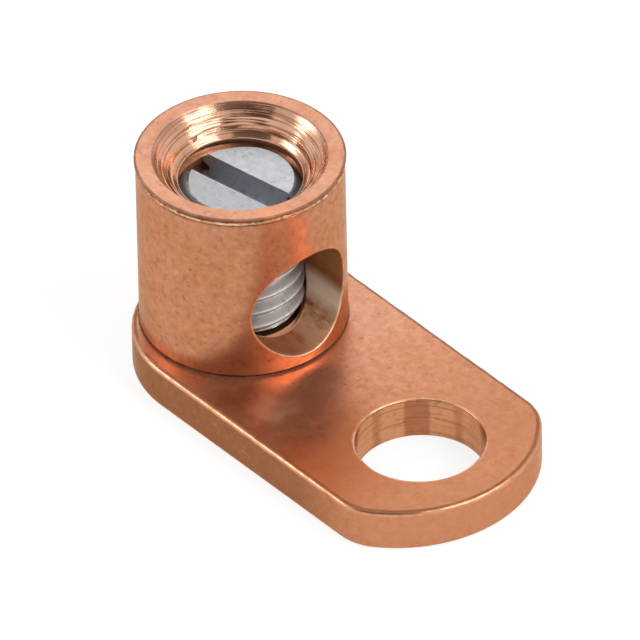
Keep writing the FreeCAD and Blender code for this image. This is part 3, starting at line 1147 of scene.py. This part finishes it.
def flat_card(name, middle, right, up, material):
    """A four-cornered card about its middle."""
    mesh = bpy.data.meshes.new(name)
    corners = [middle + u * right + v * up for u, v in ((-1, -1), (1, -1), (1, 1), (-1, 1))]
    mesh.from_pydata([corner.tolist() for corner in corners], [], [(0, 1, 2, 3)])
    mesh.materials.append(material)
    return new_object(name, mesh)


class LUG_OT_stage(bpy.types.Operator):
    """Set up the floor, the lamps, the world and the camera."""
    bl_idname = "lug.stage"
    bl_label = "Stage"

    def execute(self, context):
        settings = context.scene.lug_stage
        self.floor()
        self.world(settings)
        self.lamps(settings)
        self.flag()
        self.camera(context, settings)
        context.scene.view_settings.view_transform = "Standard"
        return {"FINISHED"}

    def floor(self):
        """A wide plane just under the part, white to the camera apart from the part's shadow."""
        size, drop, glow_strength = 3.0, 0.02 * MM, 0.78
        material, nodes = matte_material("White floor", 0.3)
        tree = material.node_tree
        strength = nodes.times(nodes.seen(), glow_strength)
        glow = nodes.add("Emission", {"Color": (1, 1, 1, 1), "Strength": strength})
        both = nodes.add("AddShader", {0: tree.nodes["Principled BSDF"].outputs[0], 1: glow[0]})
        nodes.feed(tree.nodes["Material Output"].inputs["Surface"], both[0])
        floor = flat_card("Floor", np.zeros(3), np.array([size, 0, 0]), np.array([0, size, 0]), material)
        floor.location.z = -drop

    def world(self, settings):
        """Even light for the part and a white surround for camera, glossy and transmission rays."""
        world = bpy.data.worlds.new("Studio")
        bpy.context.scene.world = world
        world.use_nodes = True
        nodes = Nodes(world.node_tree)
        back = world.node_tree.nodes["Background"].inputs
        nodes.feed(back["Strength"], nodes.ramp(nodes.seen(), settings.world_light, 1.0))
        back["Color"].default_value = (1, 1, 1, 1)

    def lamps(self, settings):
        """Soft boxes behind, right, left and overhead, aimed at the part; radiance 1 reflects as white."""
        target = np.array([-0.009, 0.0, 0.006])
        for name, direction, distance, tall, wide, radiance in (
                ("Back box", (-0.61, 0.50, 0.62), 0.22, 0.17, 0.17, 0.30),
                ("Right box", (0.68, 0.28, 0.68), 0.30, 0.12, 0.20, 5.4),
                ("Left box", (-0.65, -0.63, 0.42), 0.30, 0.12, 0.12, 5.6),
                ("Top box", (0.05, 0.05, 1.0), 0.45, 0.32, 0.32, 0.15)):
            data = bpy.data.lights.new(name, "AREA")
            data.shape = "RECTANGLE"
            data.size = tall
            data.size_y = wide
            data.energy = radiance * math.pi * tall * wide * settings.lamp_light
            axes = facing(direction, (0.0, 1.0, 0.0))
            set_place(new_object(name, data), target + axes[2] * distance, axes)

    def flag(self):
        """A dark card on the near side that only reflections see, as a studio's black flag."""
        half_wide, half_tall, distance = 0.16, 0.13, 0.30
        x, y, z = facing((0.36, -0.52, 0.78), (0.0, 0.0, 1.0))
        middle = np.array([-0.012, 0.0, 0.01]) + distance * z
        material, _ = matte_material("Dark card", 0.12)
        card = flat_card("Flag", middle, half_wide * x, half_tall * y, material)
        card.visible_camera = False
        card.visible_diffuse = False
        card.visible_shadow = False

    def camera(self, context, settings):
        """A long lens at the measured angle."""
        a, e, r = settings.azimuth, settings.elevation, settings.roll
        back = np.array([math.sin(a) * math.cos(e), -math.cos(a) * math.cos(e), math.sin(e)])
        right = np.array([math.cos(a), math.sin(a), 0.0])
        up = np.cross(back, right)
        right, up = math.cos(r) * right + math.sin(r) * up, math.cos(r) * up - math.sin(r) * right
        points = settings.scale / MM
        across = (PICTURE / 2 - settings.centre[0]) / points
        along = (settings.centre[1] - PICTURE / 2) / points
        data = bpy.data.cameras.new("Camera")
        data.sensor_width = SENSOR
        data.lens = points * settings.distance / PICTURE * SENSOR
        data.clip_start = 0.01
        data.clip_end = 20.0
        camera = new_object("Camera", data)
        set_place(camera, across * right + along * up + settings.distance * back, (right, up, back))
        context.scene.camera = camera


class LUG_PT_panel(bpy.types.Panel):
    """Lists the pieces of the lug and the stage."""
    bl_idname = "LUG_PT_panel"
    bl_label = "Mechanical lug"
    bl_space_type = "VIEW_3D"
    bl_region_type = "UI"
    bl_category = "Lug"

    def draw(self, context):
        for operator in OPERATORS:
            self.layout.operator(operator.bl_idname)


GROUPS = {
    "lug_body": LugBodySizes, "lug_screw": ClampScrewSizes, "lug_finish": LugFinish,
    "lug_stage": StageSettings}
OPERATORS = (LUG_OT_body, LUG_OT_screw, LUG_OT_stage)


def register():
    for name, group in GROUPS.items():
        bpy.utils.register_class(group)
        setattr(bpy.types.Scene, name, bpy.props.PointerProperty(type=group))
    for operator in OPERATORS:
        bpy.utils.register_class(operator)
    bpy.utils.register_class(LUG_PT_panel)


def unregister():
    bpy.utils.unregister_class(LUG_PT_panel)
    for operator in reversed(OPERATORS):
        bpy.utils.unregister_class(operator)
    for name, group in GROUPS.items():
        delattr(bpy.types.Scene, name)
        bpy.utils.unregister_class(group)


def main():
    register()
    bpy.ops.lug.body()
    bpy.ops.lug.screw()
    bpy.ops.lug.stage()


if __name__ == "__main__":
    main()
